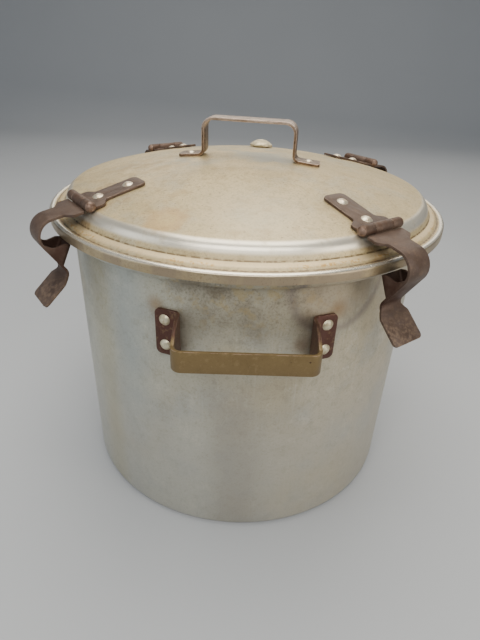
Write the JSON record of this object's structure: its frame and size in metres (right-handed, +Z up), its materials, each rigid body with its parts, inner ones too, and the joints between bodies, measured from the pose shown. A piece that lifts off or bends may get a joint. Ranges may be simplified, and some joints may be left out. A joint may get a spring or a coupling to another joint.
{
  "type": "clamp-lid stock pot",
  "caption": "Round aluminium stock pot with a rolled rim, riveted strap handles and a domed lid held down by hinged strap clamps.",
  "frame": {"origin": "centre of the pot's flat base, on the surface that it stands on", "axes": "+Z up along the pot's axis; -Y towards the front handle; +X to the right seen from the front"},
  "size_m": [0.33, 0.3538, 0.313],
  "materials": {
    "pot_aluminium": "satin, stained",
    "lid_aluminium": "satin, oxidised",
    "cap_aluminium": "satin",
    "rivet_aluminium": "satin",
    "handle_steel": "rust-brown, pitted",
    "lid_handle_steel": "tarnished brown",
    "clamp_steel": "tarnished, rust in the bends",
    "pin_steel": "worn",
    "steel_wire": "plain",
    "brass": "dull",
    "gasket_rubber": "matt"
  },
  "bodies": {
    "pot": {"pot_shell": "pot_aluminium", "rim_wire": "steel_wire", "front_handle": "handle_steel", "front_handle_rivets": "rivet_aluminium", "rear_handle": "handle_steel", "rear_handle_rivets": "rivet_aluminium"},
    "lid": {"lid_shell": "lid_aluminium", "lid_gasket": "gasket_rubber", "lid_handle": "lid_handle_steel", "lid_handle_rivets": "rivet_aluminium", "vent_seat": "brass", "vent_nut": "brass", "front_right_clamp_leaf": "clamp_steel", "front_right_clamp_leaf_rivets": "rivet_aluminium", "front_right_clamp_hinge_pin": "pin_steel", "rear_right_clamp_leaf": "clamp_steel", "rear_right_clamp_leaf_rivets": "rivet_aluminium", "rear_right_clamp_hinge_pin": "pin_steel", "rear_left_clamp_leaf": "clamp_steel", "rear_left_clamp_leaf_rivets": "rivet_aluminium", "rear_left_clamp_hinge_pin": "pin_steel", "front_left_clamp_leaf": "clamp_steel", "front_left_clamp_leaf_rivets": "rivet_aluminium", "front_left_clamp_hinge_pin": "pin_steel"},
    "vent": {"vent_cap": "cap_aluminium", "vent_retainer": "pin_steel"},
    "front_right_clamp": {"front_right_clamp_strap": "clamp_steel"},
    "rear_right_clamp": {"rear_right_clamp_strap": "clamp_steel"},
    "rear_left_clamp": {"rear_left_clamp_strap": "clamp_steel"},
    "front_left_clamp": {"front_left_clamp_strap": "clamp_steel"}
  },
  "joints": [
    {"name": "lid_lift", "type": "slide", "parent": "pot", "child": "lid", "axis": [0, 0, 1], "range_m": [0, 0.16]},
    {"name": "vent_lift", "type": "slide", "parent": "lid", "child": "vent", "axis": [0.0222, 0.1315, 0.9911], "range_m": [0, 0.004]},
    {"name": "front_right_clamp_hinge", "type": "hinge", "parent": "lid", "child": "front_right_clamp", "pos_m": [0.08877, -0.1178, 0.2653], "axis": [-0.7986, -0.6018, 0], "range_deg": [-3.5, 150]},
    {"name": "rear_right_clamp_hinge", "type": "hinge", "parent": "lid", "child": "rear_right_clamp", "pos_m": [0.11463, 0.09283, 0.2653], "axis": [0.6293, -0.7771, 0], "range_deg": [-3.5, 150]},
    {"name": "rear_left_clamp_hinge", "type": "hinge", "parent": "lid", "child": "rear_left_clamp", "pos_m": [-0.08877, 0.1178, 0.2653], "axis": [0.7986, 0.6018, 0], "range_deg": [-3.5, 150]},
    {"name": "front_left_clamp_hinge", "type": "hinge", "parent": "lid", "child": "front_left_clamp", "pos_m": [-0.1178, -0.08877, 0.2653], "axis": [-0.6018, 0.7986, 0], "range_deg": [-3.5, 150]}
  ]
}
